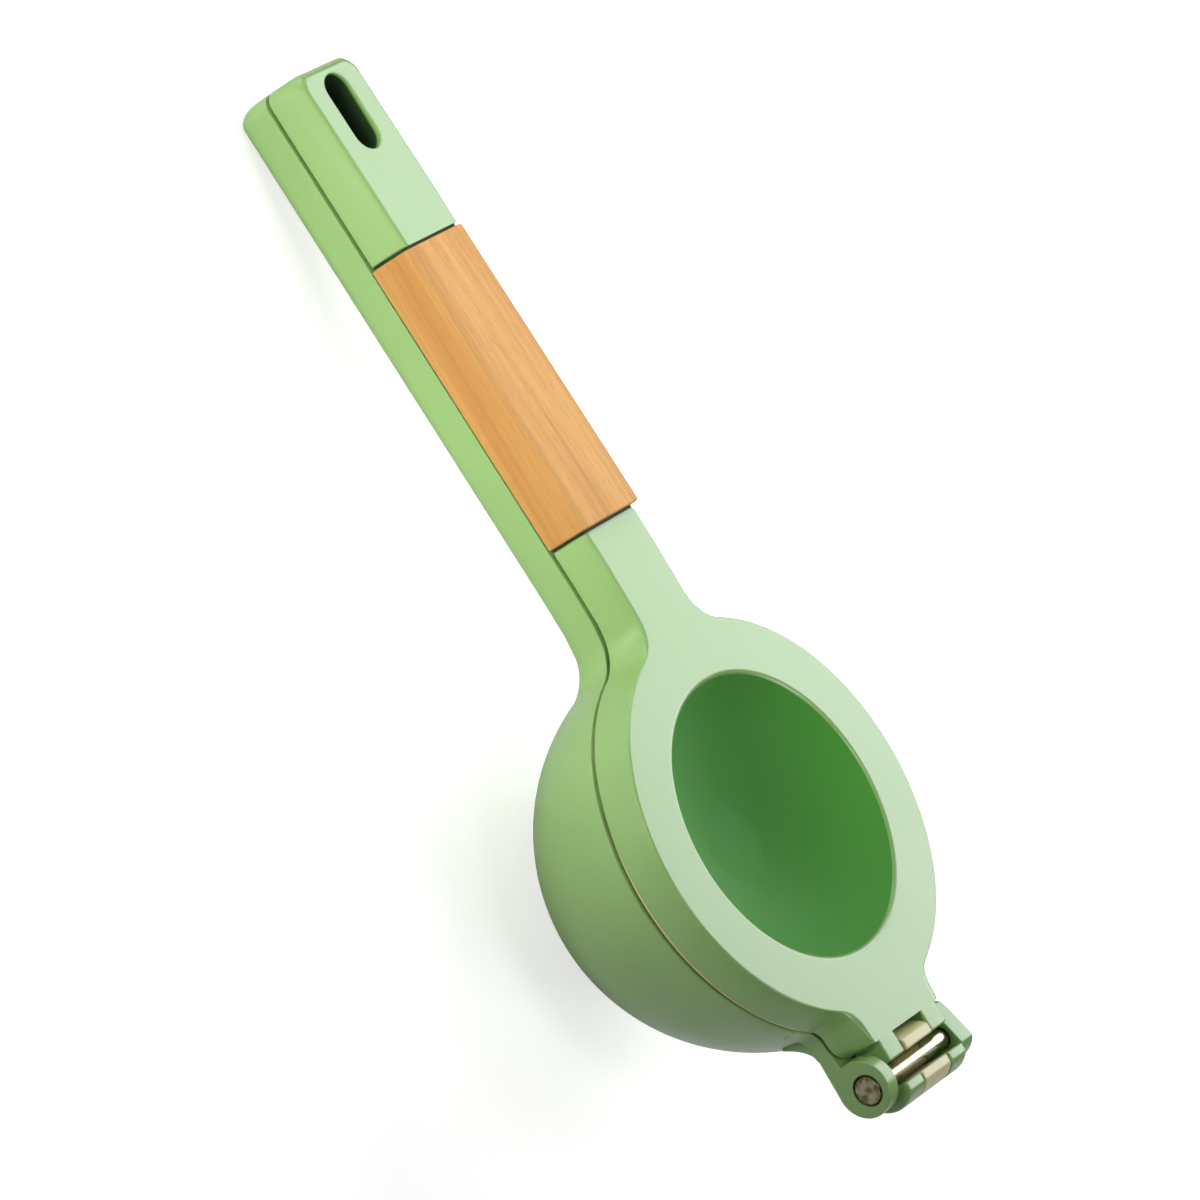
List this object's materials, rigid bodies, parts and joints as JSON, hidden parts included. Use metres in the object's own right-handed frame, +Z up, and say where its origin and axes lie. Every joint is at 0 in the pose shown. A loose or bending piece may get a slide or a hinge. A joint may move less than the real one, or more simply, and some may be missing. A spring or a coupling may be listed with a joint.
{
  "type": "hand citrus juicer",
  "caption": "Hinged hand squeezer for citrus: painted lower arm with a round bowl, upper arm with a dished press, cream strainer cup between them, steel pin and wood grip.",
  "frame": {"origin": "middle of the footprint, on the table that the closed juicer lies on", "axes": "+X along the juicer from the handles' end to the hinge, +Y along the hinge pin, +Z up"},
  "size_m": [0.2322, 0.088, 0.0643],
  "materials": {
    "green_paint": "semi-gloss sage green paint on a light metal casting",
    "cream_enamel": "semi-gloss cream paint on a light metal casting",
    "pin_steel": "bright turned steel",
    "beech": "oiled beech, straight grain along the handle",
    "screw_steel": "plain zinc-plated steel"
  },
  "bodies": {
    "lower": {"bowl_arm": "green_paint", "hinge_pin": "pin_steel"},
    "cup": {"strainer_cup": "cream_enamel"},
    "upper": {"press_arm": "green_paint", "wood_grip": "beech", "grip_screw_front": "screw_steel", "grip_screw_rear": "screw_steel"}
  },
  "joints": [
    {"name": "cup_hinge", "type": "hinge", "parent": "lower", "child": "cup", "pos_m": [0.10962, 0, 0.05848], "axis": [0, 1, 0], "range_deg": [0, 60]},
    {"name": "press_hinge", "type": "hinge", "parent": "cup", "child": "upper", "pos_m": [0.10962, 0, 0.05848], "axis": [0, 1, 0], "range_deg": [0, 115]}
  ]
}
